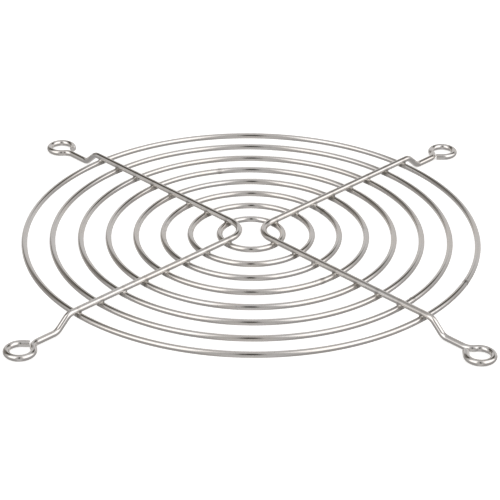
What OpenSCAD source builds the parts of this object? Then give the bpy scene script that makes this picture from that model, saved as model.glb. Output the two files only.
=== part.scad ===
// Wire finger guard for a 120 mm axial fan.
// Eight concentric rings lie under two V-shaped support wires; the wires are
// resistance welded where they cross, and each support wire ends in two eyelets.
// Origin: centre of the screw pattern, on the mounting plane. +Z away from the fan.

/* [Mounting] */
// distance between neighbouring eyelet centres
hole_spacing = 105; // [60:0.5:160]
// clear diameter inside an eyelet, made for an M4 screw
eyelet_hole_d = 4.9; // [3.5:0.1:6]
// depth of the flat the forming pin leaves inside an eyelet
eyelet_land = 0.08; // [0.02:0.01:0.2]

/* [Rings] */
// wire diameter of the rings
ring_wire_d = 1.5; // [1:0.1:2.5]
// centre-line diameter of ring 1, the innermost
ring_1_d = 15.9; // [14:0.1:18]
// centre-line diameter of ring 2
ring_2_d = 30.6; // [28:0.1:33]
// centre-line diameter of ring 3
ring_3_d = 44.2; // [42:0.1:47]
// centre-line diameter of ring 4
ring_4_d = 57.8; // [55:0.1:60]
// centre-line diameter of ring 5
ring_5_d = 71.6; // [69:0.1:74]
// centre-line diameter of ring 6
ring_6_d = 85.4; // [83:0.1:88]
// centre-line diameter of ring 7
ring_7_d = 99.5; // [97:0.1:102]
// centre-line diameter of ring 8, the outermost
ring_8_d = 113.4; // [110:0.1:116]

/* [Support wires] */
// wire diameter of the two support wires
support_wire_d = 1.6; // [1:0.1:2.5]
// bend radius of each V at the hub, on the centre line
hub_bend_r = 6.2; // [3:0.1:7]
// distance from the centre of the guard to the sharp corner of each V
hub_corner = 0.5; // [0:0.1:1.5]

/* [Heights] */
// height of the ring centre lines above the eyelet centre lines
ring_rise = 2.25; // [1:0.05:5]
// depth the crossing wires are pressed into each other by welding
weld_setdown = 0.4; // [0.1:0.05:0.6]
// radius of the nugget squeezed out at a weld
nugget_r = 0.88; // [0.8:0.01:1.1]

/* [Joggle] */
// distance along the arm at which the step down to the eyelet starts
joggle_start = 58.2; // [57.8:0.1:60]
// bend radius of the step, on the centre line
joggle_bend_r = 2.8; // [1.5:0.1:3.2]
// steepness of the step
joggle_angle = 42; // [30:1:50]

/* [Eyelets] */
// radius of the reverse bend between neck and eyelet, on the centre line
neck_bend_r = 3; // [2:0.1:4]
// heading at which the eyelet loop stops, measured back from the arm
loop_stop = 225; // [180:1:230]
// straight wire left after the loop
tail_len = 1.8; // [0.2:0.1:2]
// straight wire left after the far left loop, which was cut shorter
tail_len_far_left = 0.4; // [0.2:0.1:2]

/* [Hidden] */
$fn = 48;
plating = [0.78, 0.77, 0.75];
ring_ds = [ring_1_d, ring_2_d, ring_3_d, ring_4_d, ring_5_d, ring_6_d, ring_7_d, ring_8_d];
z_eye = support_wire_d / 2;
z_ring = z_eye + ring_rise;
z_arm = z_ring + (ring_wire_d + support_wire_d) / 2 - weld_setdown;
loop_r = eyelet_hole_d / 2 + support_wire_d / 2 - eyelet_land;
eye_u = hole_spacing / sqrt(2);
arm_off = hub_corner * sin(45);
step_drop = z_arm - z_eye;
slope_len = (step_drop - 2 * joggle_bend_r * (1 - cos(joggle_angle))) / sin(joggle_angle);
joggle_run = 2 * joggle_bend_r * sin(joggle_angle) + slope_len * cos(joggle_angle);
// distance from the corner of the V to the foot of the guard centre on the arm line
corner_back = hub_corner * cos(45);
joint_gap = 0.04;
ball_proud = 0.025;
hub_gap = joint_gap / hub_bend_r * 180 / PI;

// --- wire pieces, each starting at the origin and running along +X ---
// Straights and bends stop a hair short of each joint, inside a ball a hair
// larger than the wire, so that every support wire is one clean solid.

module joint_ball(d) { sphere(d = d + 2 * ball_proud); }

// a bend to the left; its two joints are left to joint_ball
module arc(r, a, d) {
    ga = joint_gap / r * 180 / PI;
    translate([0, r, 0]) rotate([0, 0, ga - 90])
        rotate_extrude(angle = a - 2 * ga, $fn = 144) translate([r, 0]) circle(d = d, $fn = 48);
}

module straight(len, d) {
    translate([joint_gap, 0, 0]) rotate([0, 90, 0]) cylinder(h = len - 2 * joint_gap, d = d);
    translate([len, 0, 0]) children();
}

module bend_down(r, a, d) {
    joint_ball(d);
    rotate([-90, 0, 0]) {
        arc(r, a, d);
        translate([r * sin(a), r * (1 - cos(a)), 0]) rotate([0, 0, a])
            rotate([90, 0, 0]) { joint_ball(d); children(); }
    }
}

module bend_up(r, a, d) {
    joint_ball(d);
    rotate([90, 0, 0]) {
        arc(r, a, d);
        translate([r * sin(a), r * (1 - cos(a)), 0]) rotate([0, 0, a])
            rotate([-90, 0, 0]) { joint_ball(d); children(); }
    }
}

// a bend to the left, then a loop to the right round the screw, and a short
// straight end; the forming pin leaves a narrow flat inside the loop
module eyelet(turn, tail, d) {
    reach = neck_bend_r + loop_r;
    ga = joint_gap / loop_r * 180 / PI;
    difference() {
        union() {
            joint_ball(d);
            arc(neck_bend_r, turn, d);
            translate([neck_bend_r * sin(turn), neck_bend_r * (1 - cos(turn)), 0]) joint_ball(d);
            translate([reach * sin(turn), neck_bend_r - reach * cos(turn), 0]) rotate([0, 0, 90 - loop_stop]) {
                rotate([0, 0, ga]) rotate_extrude(angle = turn + loop_stop - 2 * ga, $fn = 144)
                    translate([loop_r, 0]) circle(d = d, $fn = 48);
                translate([loop_r, 0, 0]) joint_ball(d);
                translate([loop_r, -joint_gap, 0]) rotate([90, 0, 0]) cylinder(h = tail - joint_gap, d = d);
            }
        }
        translate([reach * sin(turn), neck_bend_r - reach * cos(turn), -d])
            cylinder(h = 2 * d, d = eyelet_hole_d, $fn = 144);
    }
}

// one arm from the end of the hub bend outwards; off is how far it lies to the
// left of the line through the centre, looking outwards
module arm(off, tail) {
    d = support_wire_d;
    turn = acos((neck_bend_r + off) / (neck_bend_r + loop_r));
    neck_u = eye_u - (neck_bend_r + loop_r) * sin(turn);
    u0 = hub_bend_r + corner_back;
    translate([u0, off, z_arm]) {
        joint_ball(d);
        straight(joggle_start - u0, d)
            bend_down(joggle_bend_r, joggle_angle, d)
            straight(slope_len, d)
            bend_up(joggle_bend_r, joggle_angle, d)
            straight(neck_u - joggle_start - joggle_run, d)
            eyelet(turn, tail, d);
    }
}

// the left support wire has half = 0; half = 180 gives the right one, turned half round
module support_wire(tail_1, tail_2, half) {
    side = half == 0 ? -1 : 1;
    color(plating) {
        translate([side * (hub_corner + hub_bend_r * sqrt(2)), 0, z_arm]) rotate([0, 0, half + hub_gap - 45])
            rotate_extrude(angle = 90 - 2 * hub_gap, $fn = 144) translate([hub_bend_r, 0]) circle(d = support_wire_d, $fn = 48);
        rotate([0, 0, 135 + half]) arm(arm_off, tail_1);
        rotate([0, 0, half - 135]) arm(-arm_off, tail_2);
    }
}

// one ring with its four weld nuggets, seated in the support wires
module guard_ring(n) {
    r = ring_ds[n - 1] / 2;
    u = sqrt(r * r - arm_off * arm_off);
    color(plating)
        difference() {
            union() {
                translate([0, 0, z_ring]) rotate_extrude($fn = 240) translate([r, 0]) circle(d = ring_wire_d, $fn = 48);
                for (k = [0:3]) rotate([0, 0, 45 + 90 * k])
                    translate([u, (k % 2 == 0 ? -1 : 1) * arm_off, z_ring + (ring_wire_d - weld_setdown) / 2])
                        sphere(r = nugget_r);
            }
            for (k = [0:3]) rotate([0, 0, 45 + 90 * k])
                translate([u - 1.25, (k % 2 == 0 ? -1 : 1) * arm_off, z_arm])
                    rotate([0, 90, 0]) cylinder(h = 2.5, d = support_wire_d);
        }
}

module ring_1() { guard_ring(1); }
module ring_2() { guard_ring(2); }
module ring_3() { guard_ring(3); }
module ring_4() { guard_ring(4); }
module ring_5() { guard_ring(5); }
module ring_6() { guard_ring(6); }
module ring_7() { guard_ring(7); }
module ring_8() { guard_ring(8); }
module support_wire_left() { support_wire(tail_len_far_left, tail_len, 0); }
module support_wire_right() { support_wire(tail_len, tail_len, 180); }

ring_1();
ring_2();
ring_3();
ring_4();
ring_5();
ring_6();
ring_7();
ring_8();
support_wire_left();
support_wire_right();
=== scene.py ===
import math
import random

import bmesh
import bpy
from mathutils import Matrix, Vector, noise


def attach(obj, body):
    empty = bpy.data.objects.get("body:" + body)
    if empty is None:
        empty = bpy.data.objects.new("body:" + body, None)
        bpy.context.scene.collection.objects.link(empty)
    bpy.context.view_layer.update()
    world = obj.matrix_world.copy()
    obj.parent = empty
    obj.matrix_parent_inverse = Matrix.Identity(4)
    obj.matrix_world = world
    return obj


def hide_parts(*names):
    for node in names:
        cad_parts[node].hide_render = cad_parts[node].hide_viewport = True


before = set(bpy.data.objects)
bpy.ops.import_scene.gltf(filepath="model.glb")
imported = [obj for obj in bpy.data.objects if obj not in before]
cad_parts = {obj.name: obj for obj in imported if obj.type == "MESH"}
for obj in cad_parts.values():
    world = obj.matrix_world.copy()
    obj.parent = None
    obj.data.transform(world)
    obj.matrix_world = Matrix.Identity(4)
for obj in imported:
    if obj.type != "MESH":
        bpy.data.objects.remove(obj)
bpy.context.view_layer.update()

MM = 0.001

# ---------------------------------------------------------------- dimensions
# the same values as the part's source, in millimetres
HOLE_SPACING, EYELET_HOLE_D, EYELET_LAND = 105.0, 4.9, 0.08
RING_WIRE_D, SUPPORT_WIRE_D = 1.5, 1.6
RING_D = [15.9, 30.6, 44.2, 57.8, 71.6, 85.4, 99.5, 113.4]
HUB_BEND_R, HUB_CORNER = 6.2, 0.5
RING_RISE, WELD_SETDOWN = 2.25, 0.4
JOGGLE_START, JOGGLE_BEND_R, JOGGLE_ANGLE = 58.2, 2.8, math.radians(42)
NECK_BEND_R, LOOP_STOP = 3.0, math.radians(225)
TAIL_LEN, TAIL_LEN_FAR_LEFT = 1.8, 0.4

Z_EYE = SUPPORT_WIRE_D / 2
Z_RING = Z_EYE + RING_RISE
Z_ARM = Z_RING + (RING_WIRE_D + SUPPORT_WIRE_D) / 2 - WELD_SETDOWN
LOOP_R = EYELET_HOLE_D / 2 + SUPPORT_WIRE_D / 2 - EYELET_LAND
EYE_U = HOLE_SPACING / math.sqrt(2)
ARM_OFF = HUB_CORNER * math.sin(math.radians(45))
STEP_DROP = Z_ARM - Z_EYE
SLOPE_LEN = (STEP_DROP - 2 * JOGGLE_BEND_R * (1 - math.cos(JOGGLE_ANGLE))) / math.sin(JOGGLE_ANGLE)
JOGGLE_RUN = 2 * JOGGLE_BEND_R * math.sin(JOGGLE_ANGLE) + SLOPE_LEN * math.cos(JOGGLE_ANGLE)


# ---------------------------------------------------------------- wire paths
class Pen:
    """Walks along a wire's centre line, like the chained straights and bends of the CAD part."""

    def __init__(self, pos, heading):
        self.p = Vector(pos)
        self.t = Vector((math.cos(heading), math.sin(heading), 0))
        self.u = Vector((0, 0, 1))
        self.pts = [self.p.copy()]

    def straight(self, length, step=0.45):
        n = max(1, int(math.ceil(length / step)))
        for i in range(1, n + 1):
            self.pts.append(self.p + self.t * (length * i / n))
        self.p = self.pts[-1].copy()
        return self

    def turn(self, radius, angle, axis, step=0.16):
        """Turns about axis through angle; a positive angle is anticlockwise about it."""
        sign = 1 if angle > 0 else -1
        centre = self.p + axis.cross(self.t) * (radius * sign)
        arm = self.p - centre
        n = max(3, int(math.ceil(abs(angle) * radius / step)))
        for i in range(1, n + 1):
            rot = Matrix.Rotation(angle * i / n, 3, axis)
            self.pts.append(centre + rot @ arm)
        rot = Matrix.Rotation(angle, 3, axis)
        self.t = (rot @ self.t).normalized()
        self.u = (rot @ self.u).normalized()
        self.p = self.pts[-1].copy()
        return self

    def side(self):
        return self.u.cross(self.t).normalized()


def arm_points(heading, off, tail):
    c, s = math.cos(heading), math.sin(heading)
    turn = math.acos((NECK_BEND_R + off) / (NECK_BEND_R + LOOP_R))
    neck_u = EYE_U - (NECK_BEND_R + LOOP_R) * math.sin(turn)
    u0 = HUB_BEND_R + HUB_CORNER * math.cos(math.radians(45))
    pen = Pen((c * u0 - s * off, s * u0 + c * off, Z_ARM), heading)
    pen.straight(JOGGLE_START - u0)
    pen.turn(JOGGLE_BEND_R, JOGGLE_ANGLE, pen.side())
    pen.straight(SLOPE_LEN)
    pen.turn(JOGGLE_BEND_R, -JOGGLE_ANGLE, pen.side())
    pen.straight(neck_u - JOGGLE_START - JOGGLE_RUN)
    up = Vector((0, 0, 1))
    pen.turn(NECK_BEND_R, turn, up)
    pen.turn(LOOP_R, -(turn + LOOP_STOP), up)
    pen.straight(tail, 0.2)
    return pen.pts


def support_points(back_tail, front_tail, half_turn):
    back = arm_points(math.radians(135), ARM_OFF, back_tail)
    front = arm_points(math.radians(-135), -ARM_OFF, front_tail)
    cx = -HUB_CORNER - HUB_BEND_R * math.sqrt(2)
    hub = []
    n = 60
    for i in range(1, n):
        a = math.radians(45 - 90 * i / n)
        hub.append(Vector((cx + HUB_BEND_R * math.cos(a), HUB_BEND_R * math.sin(a), Z_ARM)))
    pts = back[::-1] + hub + front
    if half_turn:
        pts = [Vector((-p.x, -p.y, p.z)) for p in pts]
    return pts


def ring_points(k, n):
    r = RING_D[k] / 2
    return [Vector((r * math.cos(2 * math.pi * i / n), r * math.sin(2 * math.pi * i / n), Z_RING)) for i in range(n)]


def crossings(k):
    r = RING_D[k] / 2
    u = math.sqrt(r * r - ARM_OFF * ARM_OFF)
    out = []
    for q in range(4):
        a = math.radians(45 + 90 * q)
        off = (-1 if q % 2 == 0 else 1) * ARM_OFF
        out.append(Vector((math.cos(a) * u - math.sin(a) * off, math.sin(a) * u + math.cos(a) * off, 0)))
    return out


# ---------------------------------------------------------------- wire meshes
SIDES = 24


def tube(bm, uv, pts, diameter, closed, seam=None, seed=0):
    """A swept round wire. seam is the angle of a ring's butt weld."""
    n = len(pts)
    tangents = []
    for i in range(n):
        a = pts[(i - 1) % n] if closed or i > 0 else pts[i]
        b = pts[(i + 1) % n] if closed or i < n - 1 else pts[i]
        tangents.append((b - a).normalized())
    normal = Vector((0, 0, 1))
    normal = (normal - tangents[0] * normal.dot(tangents[0])).normalized()
    rows, length = [], [0.0]
    r0 = diameter / 2
    for i in range(n):
        if i:
            q = tangents[i - 1].rotation_difference(tangents[i])
            normal = q @ normal
            normal = (normal - tangents[i] * normal.dot(tangents[i])).normalized()
            length.append(length[-1] + (pts[i] - pts[i - 1]).length)
        side = tangents[i].cross(normal)
        row = []
        for j in range(SIDES):
            a = 2 * math.pi * j / SIDES
            d = normal * math.cos(a) + side * math.sin(a)
            grow = 0.0
            if seam is not None:
                th = math.atan2(pts[i].y, pts[i].x)
                arc = (th - seam + math.pi) % (2 * math.pi) - math.pi
                x = arc * math.hypot(pts[i].x, pts[i].y)
                if abs(x) < 2.2:
                    lump = noise.noise(Vector((x * 2.1 + seed, a * 1.3, seed * 0.7)))
                    grow += 0.055 * math.exp(-(x / 0.24) ** 2) * (1 + 0.8 * lump)
                    grow += 0.025 * math.exp(-((abs(x) - 0.62) / 0.25) ** 2) * lump
            row.append(bm.verts.new(pts[i] + d * (r0 + grow)))
        rows.append(row)
    total = length[-1] + ((pts[0] - pts[-1]).length if closed else 0)
    around = math.pi * diameter
    last = n if closed else n - 1
    for i in range(last):
        ni = (i + 1) % n
        u0, u1 = length[i], (length[ni] if ni else total)
        for j in range(SIDES):
            nj = (j + 1) % SIDES
            f = bm.faces.new((rows[i][j], rows[ni][j], rows[ni][nj], rows[i][nj]))
            f.smooth = True
            v0, v1 = j / SIDES * around, (j + 1) / SIDES * around
            for loop, co in zip(f.loops, ((u0, v0), (u1, v0), (u1, v1), (u0, v1))):
                loop[uv].uv = co
    return rows, tangents


def cap(bm, uv, row, centre, direction, diameter, seed):
    """A sheared wire end: a small rolled edge, a burnished half and a rougher broken half."""
    previous = row
    r0 = diameter / 2
    rings = ((0.985, 0.035), (0.93, 0.085), (0.80, 0.115), (0.55, 0.125), (0.28, 0.13))
    for scale, out in rings:
        new = []
        for j, v in enumerate(row):
            a = 2 * math.pi * j / len(row)
            d = (v.co - centre)
            tilt = 0.10 * d.dot(Vector((0, 0, 1)))
            rough = 0.03 * noise.noise(Vector((math.cos(a) * scale * 3 + seed, math.sin(a) * scale * 3, seed)))
            new.append(bm.verts.new(centre + d * scale + direction * (out + (tilt + rough) * (0 if scale > 0.95 else 1))))
        for j in range(len(row)):
            k = (j + 1) % len(row)
            f = bm.faces.new((previous[j], new[j], new[k], previous[k]))
            f.smooth = True
            for loop, co in zip(f.loops, ((0, j), (out, j), (out, k), (0, k))):
                loop[uv].uv = (co[0], co[1] * 0.2)
        previous = new
    f = bm.faces.new(previous)
    f.smooth = True
    for loop in f.loops:
        loop[uv].uv = (0.2, 0.1)


def nugget(bm, uv, at, along, seed, big=1.0):
    """The metal squeezed out of a cross-wire weld, lumpy, lying along the two wires' corner."""
    rnd = random.Random(seed)
    across = Vector((-along.y, along.x, 0))
    cols, rows_ = 26, 14
    grid = []
    for i in range(rows_ + 1):
        ph = math.pi * i / rows_
        row = []
        for j in range(cols):
            a = 2 * math.pi * j / cols
            # four-lobed outline: the squeezed metal fills the four corners between the wires
            lobe = 1 + 0.10 * (1 - math.cos(4 * a)) / 2
            rr = math.sin(ph)
            n3 = Vector((math.cos(a) * rr * 1.7 + seed * 1.31, math.sin(a) * rr * 1.7, math.cos(ph) * 1.7 + seed * 0.37))
            lump = 1 + 0.16 * noise.noise(n3) + 0.11 * noise.noise(n3 * 2.7)
            p = along * (math.cos(a) * rr * 0.98 * lobe * lump) + across * (math.sin(a) * rr * 0.96 * lobe * lump)
            p.z = math.cos(ph) * 0.56 * lump
            row.append(bm.verts.new(at + p * big))
        grid.append(row)
    for i in range(rows_):
        for j in range(cols):
            k = (j + 1) % cols
            f = bm.faces.new((grid[i][j], grid[i + 1][j], grid[i + 1][k], grid[i][k]))
            f.smooth = True
            for loop in f.loops:
                loop[uv].uv = (j * 0.1 + seed, i * 0.1)
    # small beads of spatter beside the nugget
    for b in range(2):
        a = rnd.uniform(0, 2 * math.pi)
        c = at + Vector((math.cos(a), math.sin(a), 0)) * (0.86 + 0.1 * rnd.random()) + Vector((0, 0, -0.12 + 0.2 * rnd.random()))
        s = 0.10 + 0.06 * rnd.random()
        made = bmesh.ops.create_icosphere(bm, subdivisions=2, radius=s)
        for v in made["verts"]:
            v.co = v.co + c
        for v in made["verts"]:
            for f in v.link_faces:
                f.smooth = True


def weld_mask(me, marks):
    """How near each vertex is to a weld, for the material: 1 on it, 0 away from it.
    A mark is a point, the radius of its darkened metal and how strong that is: painted shade where wires cross, weld
    tint at a ring's seam."""
    attr = me.attributes.new("weld", "FLOAT", "POINT")
    values = []
    for v in me.vertices:
        value = 0.0
        for p, radius, strength in marks:
            d2 = (v.co.x - p.x) ** 2 + (v.co.y - p.y) ** 2 + 0.5 * (v.co.z - p.z) ** 2
            if d2 < radius * radius:
                value = max(value, strength * (1.0 - math.sqrt(d2) / radius))
        values.append(value)
    attr.data.foreach_set("value", values)


def make_object(name, bm, material):
    me = bpy.data.meshes.new(name)
    bmesh.ops.recalc_face_normals(bm, faces=bm.faces)
    bm.to_mesh(me)
    bm.free()
    me.materials.append(material)
    o = bpy.data.objects.new(name, me)
    bpy.context.scene.collection.objects.link(o)
    return o


def finish_object(o, marks):
    weld_mask(o.data, marks)
    o.data.transform(Matrix.Scale(MM, 4))
    o.data.update()


# ---------------------------------------------------------------- materials
def plating(name, base, dull, seed):
    """Bright plated drawn wire: mirror-like, with fine draw lines along the wire, a little uneven
    colour and gloss, tiny pits with painted shade in them, and duller, warmer metal where it was welded, whose darker
    colour is painted shade where the wires cross."""
    m = bpy.data.materials.new(name)
    m.use_nodes = True
    nt = m.node_tree
    N, L = nt.nodes, nt.links
    N.clear()
    out = N.new("ShaderNodeOutputMaterial")
    b = N.new("ShaderNodeBsdfPrincipled")
    L.new(b.outputs[0], out.inputs[0])
    b.inputs["Metallic"].default_value = 1.0
    b.inputs["IOR"].default_value = 2.2
    uvn = N.new("ShaderNodeUVMap")
    uvn.uv_map = "wire"
    obj = N.new("ShaderNodeTexCoord")

    def mapped(src, scale, loc=(0, 0, 0)):
        mp = N.new("ShaderNodeMapping")
        mp.inputs["Scale"].default_value = scale
        mp.inputs["Location"].default_value = loc
        L.new(src, mp.inputs["Vector"])
        return mp.outputs[0]

    def noise_tex(vec, scale, detail, rough=0.5):
        t = N.new("ShaderNodeTexNoise")
        t.inputs["Scale"].default_value = scale
        t.inputs["Detail"].default_value = detail
        t.inputs["Roughness"].default_value = rough
        L.new(vec, t.inputs["Vector"])
        return t.outputs["Fac"]

    def ramp(src, lo, hi, a=0.0, c=1.0):
        r = N.new("ShaderNodeMapRange")
        r.interpolation_type = "SMOOTHSTEP"
        r.inputs["From Min"].default_value = lo
        r.inputs["From Max"].default_value = hi
        r.inputs["To Min"].default_value = a
        r.inputs["To Max"].default_value = c
        L.new(src, r.inputs["Value"])
        return r.outputs[0]

    def math_node(op, a, c):
        q = N.new("ShaderNodeMath")
        q.operation = op
        for i, v in enumerate((a, c)):
            if isinstance(v, (int, float)):
                q.inputs[i].default_value = v
            else:
                L.new(v, q.inputs[i])
        return q.outputs[0]

    def mix(fac, a, c):
        q = N.new("ShaderNodeMix")
        q.data_type = "RGBA"
        L.new(fac, q.inputs["Factor"])
        for key, v in (("A", a), ("B", c)):
            sock = [s for s in q.inputs if s.name == key and s.type == "RGBA"][0]
            if isinstance(v, tuple):
                sock.default_value = v
            else:
                L.new(v, sock)
        return [s for s in q.outputs if s.type == "RGBA"][0]

    weld = N.new("ShaderNodeAttribute")
    weld.attribute_name = "weld"
    broad = noise_tex(mapped(obj.outputs["Object"], (1, 1, 1), (seed, 0, 0)), 90.0, 3.0)
    cloud = noise_tex(mapped(obj.outputs["Object"], (1, 1, 1), (0, seed, 0)), 700.0, 4.0, 0.6)
    lines = noise_tex(mapped(uvn.outputs[0], (0.22, 9.0, 1.0), (seed, seed, 0)), 3.0, 5.0, 0.62)
    pits = noise_tex(mapped(obj.outputs["Object"], (1, 1, 1), (seed, seed, 0)), 2600.0, 2.0)

    # colour: a slightly warm bright plate, faintly clouded, darkened in its pits as painted shade, and browner at the
    # welds: painted shade where the wires cross, weld tint at the seams
    warm = tuple(c * k for c, k in zip(base[:3], (1.0, 0.980, 0.955))) + (1.0,)
    col = mix(ramp(broad, 0.35, 0.68), base, warm)
    col = mix(ramp(cloud, 0.52, 0.80, 0.0, 0.35), col, dull)
    # pits: their darker colour is painted shade in the recesses that the bump below dents
    pit_and_shade_mask = ramp(pits, 0.69, 0.75, 0.0, 0.55)
    col = mix(pit_and_shade_mask, col, tuple(c * 0.45 for c in dull[:3]) + (1.0,))
    # darker, browner metal at the welds: painted shade and reflection of the crossing wire where the wires cross,
    # weld tint at a ring's butt seam; the same mask also roughens and grains the welds
    weld_grain_and_shade = math_node("MULTIPLY", ramp(weld.outputs["Fac"], 0.04, 0.62), ramp(cloud, 0.36, 0.58, 0.25, 1.0))
    col = mix(math_node("MULTIPLY", weld_grain_and_shade, 0.80), col, (0.20, 0.182, 0.150, 1.0))
    L.new(col, b.inputs["Base Color"])

    # gloss: draw lines and clouding roughen it, welds more so
    rough = math_node("ADD", ramp(lines, 0.35, 0.75, 0.0, 0.05), ramp(cloud, 0.40, 0.75, 0.0, 0.05))
    rough = math_node("ADD", rough, math_node("MULTIPLY", weld_grain_and_shade, 0.14))
    rough = math_node("ADD", rough, 0.060)
    L.new(rough, b.inputs["Roughness"])

    # relief: draw lines along the wire, soft waviness, pits, and grain at the welds
    b1 = N.new("ShaderNodeBump")
    b1.inputs["Strength"].default_value = 0.20
    b1.inputs["Distance"].default_value = 0.000010
    L.new(lines, b1.inputs["Height"])
    b2 = N.new("ShaderNodeBump")
    b2.inputs["Strength"].default_value = 0.35
    b2.inputs["Distance"].default_value = 0.000030
    L.new(math_node("MULTIPLY", cloud, math_node("ADD", math_node("MULTIPLY", weld_grain_and_shade, 1.6), 0.22)), b2.inputs["Height"])
    L.new(b1.outputs[0], b2.inputs["Normal"])
    b3 = N.new("ShaderNodeBump")
    b3.invert = True
    b3.inputs["Strength"].default_value = 0.5
    b3.inputs["Distance"].default_value = 0.000012
    L.new(pit_and_shade_mask, b3.inputs["Height"])
    L.new(b2.outputs[0], b3.inputs["Normal"])
    L.new(b3.outputs[0], b.inputs["Normal"])
    return m


RING_MAT = plating("ring_plating", (0.86, 0.842, 0.826, 1.0), (0.64, 0.62, 0.605, 1.0), 1.7)
SUPPORT_MAT = plating("support_plating", (0.87, 0.852, 0.836, 1.0), (0.65, 0.63, 0.615, 1.0), 4.1)

# ---------------------------------------------------------------- the guard
# where each ring was butt welded shut, as an angle
SEAMS = [math.radians(a) for a in (45, 135, 33.5, -54, 104, 225, -39.9, -24.4)]

for k in range(8):
    n = int(round(math.pi * RING_D[k] / 0.45 / 4)) * 4
    bm = bmesh.new()
    uv = bm.loops.layers.uv.new("wire")
    tube(bm, uv, ring_points(k, max(n, 140)), RING_WIRE_D, True, SEAMS[k], k * 3.7)
    marks = []
    for q, c in enumerate(crossings(k)):
        at = Vector((c.x, c.y, Z_RING + (RING_WIRE_D - WELD_SETDOWN) / 2 + 0.02))
        along = Vector((-c.y, c.x, 0)).normalized()
        rnd = random.Random(k * 10 + q)
        nugget(bm, uv, at, along, k * 4 + q + 1, 0.90 + 0.12 * rnd.random())
        # the material darkens this spot as painted shade and reflection of the crossing arm
        marks.append((at, 2.6, 1.0))
    seam = SEAMS[k]
    r = RING_D[k] / 2
    marks.append((Vector((r * math.cos(seam), r * math.sin(seam), Z_RING)), 1.35, 0.75))
    o = make_object(f"ring_{k + 1}_wire", bm, RING_MAT)
    finish_object(o, marks)
    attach(o, "root")
    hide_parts(f"ring_{k + 1}")

for name, back_tail, front_tail, half in (
    ("support_wire_left", TAIL_LEN_FAR_LEFT, TAIL_LEN, False),
    ("support_wire_right", TAIL_LEN, TAIL_LEN, True),
):
    pts = support_points(back_tail, front_tail, half)
    bm = bmesh.new()
    uv = bm.loops.layers.uv.new("wire")
    rows, tan = tube(bm, uv, pts, SUPPORT_WIRE_D, False)
    cap(bm, uv, rows[0], pts[0], -tan[0], SUPPORT_WIRE_D, 2.3 if half else 5.1)
    cap(bm, uv, rows[-1], pts[-1], tan[-1], SUPPORT_WIRE_D, 7.9 if half else 3.2)
    o = make_object(name + "_wire", bm, SUPPORT_MAT)
    marks = []
    for k in range(8):
        for c in crossings(k):
            if (c.x > 0) == half:
                # the material darkens these spots as painted shade where the rings cross
                marks.append((Vector((c.x, c.y, Z_ARM - SUPPORT_WIRE_D / 2)), 1.5, 1.0))
    finish_object(o, marks)
    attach(o, "root")
    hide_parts(name)

# ---------------------------------------------------------------- floor
bpy.ops.mesh.primitive_plane_add(size=3.0, location=(0, 0, 0))
floor = bpy.context.object
floor.name = "floor"
fm = bpy.data.materials.new("floor_white")
fm.use_nodes = True
fb = fm.node_tree.nodes["Principled BSDF"]
fb.inputs["Base Color"].default_value = (0.9, 0.9, 0.9, 1)
fb.inputs["Roughness"].default_value = 1.0
fb.inputs["Specular IOR Level"].default_value = 0.0
fb.inputs["Emission Color"].default_value = (1, 1, 1, 1)
fb.inputs["Emission Strength"].default_value = 0.62
floor.data.materials.append(fm)
floor.visible_glossy = False

# ---------------------------------------------------------------- surroundings
# A light tent as a gradient: two large soft boxes left and right in front, a darker
# gap between them, a grey back wall with a dark band over it, and grey underneath.
world = bpy.data.worlds.new("studio")
bpy.context.scene.world = world
world.use_nodes = True
nt = world.node_tree
N, L = nt.nodes, nt.links
N.clear()
wout = N.new("ShaderNodeOutputWorld")
bg = N.new("ShaderNodeBackground")
L.new(bg.outputs[0], wout.inputs[0])
tc = N.new("ShaderNodeTexCoord")
sep = N.new("ShaderNodeSeparateXYZ")
L.new(tc.outputs["Generated"], sep.inputs[0])


def wmath(op, a, b=0.0):
    q = N.new("ShaderNodeMath")
    q.operation = op
    for i, v in enumerate((a, b)):
        if isinstance(v, (int, float)):
            q.inputs[i].default_value = v
        else:
            L.new(v, q.inputs[i])
    return q.outputs[0]


def wstep(src, lo, hi):
    r = N.new("ShaderNodeMapRange")
    r.interpolation_type = "SMOOTHSTEP"
    r.inputs["From Min"].default_value = lo
    r.inputs["From Max"].default_value = hi
    L.new(src, r.inputs["Value"])
    return r.outputs[0]


DEG = 180 / math.pi
az = wmath("MULTIPLY", wmath("ARCTAN2", sep.outputs[0], wmath("MULTIPLY", sep.outputs[1], -1.0)), DEG)
el = wmath("MULTIPLY", wmath("ARCSINE", sep.outputs[2]), DEG)
side = wmath("ABSOLUTE", az)


def band(src, lo, hi, w):
    return wmath("MULTIPLY", wstep(src, lo - w, lo + w), wmath("SUBTRACT", 1.0, wstep(src, hi - w, hi + w)))


def wmix(fac, a, b):
    q = N.new("ShaderNodeMix")
    q.data_type = "RGBA"
    L.new(fac, q.inputs["Factor"])
    for key, v in (("A", a), ("B", b)):
        sock = [s for s in q.inputs if s.name == key and s.type == "RGBA"][0]
        if isinstance(v, (int, float)):
            sock.default_value = (v, v * 0.980, v * 0.968, 1)
        elif isinstance(v, tuple):
            sock.default_value = v
        else:
            L.new(v, sock)
    return [s for s in q.outputs if s.type == "RGBA"][0]


DARK = (0.078, 0.070, 0.058, 1)
light = wmix(wstep(el, -8.0, 10.0), 0.34, 0.52)
light = wmix(wmath("MULTIPLY", wmath("SUBTRACT", 1.0, wstep(side, 10, 30)), wmath("SUBTRACT", 1.0, wstep(el, -6, 10))), light, 0.50)
# back wall and floor behind
light = wmix(wmath("MULTIPLY", wstep(side, 122, 142), wmath("SUBTRACT", 1.0, wstep(el, 26, 34))), light, 0.60)
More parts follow.
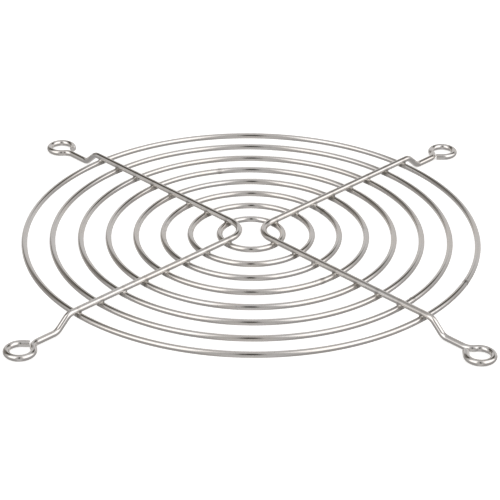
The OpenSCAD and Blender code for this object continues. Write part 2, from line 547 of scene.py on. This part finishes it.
# dark bands across the back wall, and down its left corner
light = wmix(wmath("MULTIPLY", band(az, 127, 173, 6), band(el, 32, 48, 4)), light, DARK)
light = wmix(wmath("MULTIPLY", band(az, -171, -108, 6), band(el, 33, 55, 4)), light, DARK)
light = wmix(wmath("MULTIPLY", band(az, -150, -104, 6), band(el, 5, 37, 7)), light, (0.19, 0.178, 0.162, 1))
light = wmix(wmath("MULTIPLY", band(az, 106, 134, 6), band(el, 4, 30, 6)), light, 0.47)
# gap between the soft boxes
light = wmix(wmath("MULTIPLY", wmath("SUBTRACT", 1.0, wstep(side, 14, 34)), band(el, 6, 74, 10)), light, 0.46)
light = wmix(wmath("MULTIPLY", wmath("SUBTRACT", 1.0, wstep(side, 3, 9)), band(el, 14, 66, 7)), light, (0.05, 0.046, 0.041, 1))
# soft boxes
light = wmix(wmath("MULTIPLY", band(az, 27, 106, 8), band(el, 10, 73, 11)), light, 1.32)
light = wmix(wmath("MULTIPLY", band(az, -80, -27, 8), band(el, 10, 73, 11)), light, 1.32)
L.new(light, bg.inputs["Color"])
bg.inputs["Strength"].default_value = 1.0

# ---------------------------------------------------------------- camera
R8 = 56.7
D, EL, PITCH, ROLL = 8.558, math.radians(28.693), math.radians(29.180), math.radians(0.591)
X0, F_PX, CX, CY = -0.0035, 1930.3, 249.73, 250.0
loc = Vector((X0 * R8, -D * math.cos(EL) * R8, D * math.sin(EL) * R8 + Z_RING)) * MM
fwd = Vector((0, math.cos(PITCH), -math.sin(PITCH)))
upv = Vector((0, math.sin(PITCH), math.cos(PITCH)))
right = Vector((1, 0, 0))
cr, sr = math.cos(ROLL), math.sin(ROLL)
r2 = right * cr + upv * sr
u2 = upv * cr - right * sr
cam_data = bpy.data.cameras.new("camera")
cam = bpy.data.objects.new("camera", cam_data)
bpy.context.scene.collection.objects.link(cam)
m = Matrix((r2, u2, -fwd)).transposed().to_4x4()
m.translation = loc
cam.matrix_world = m
cam_data.sensor_width = 36.0
cam_data.lens = F_PX / 500 * 36.0
cam_data.shift_x = -(CX - 249.5) / 500
cam_data.shift_y = (CY - 249.5) / 500
cam_data.clip_start = 0.01
cam_data.clip_end = 20
bpy.context.scene.camera = cam

bpy.context.scene.view_settings.view_transform = "Standard"
bpy.context.scene.view_settings.look = "None"
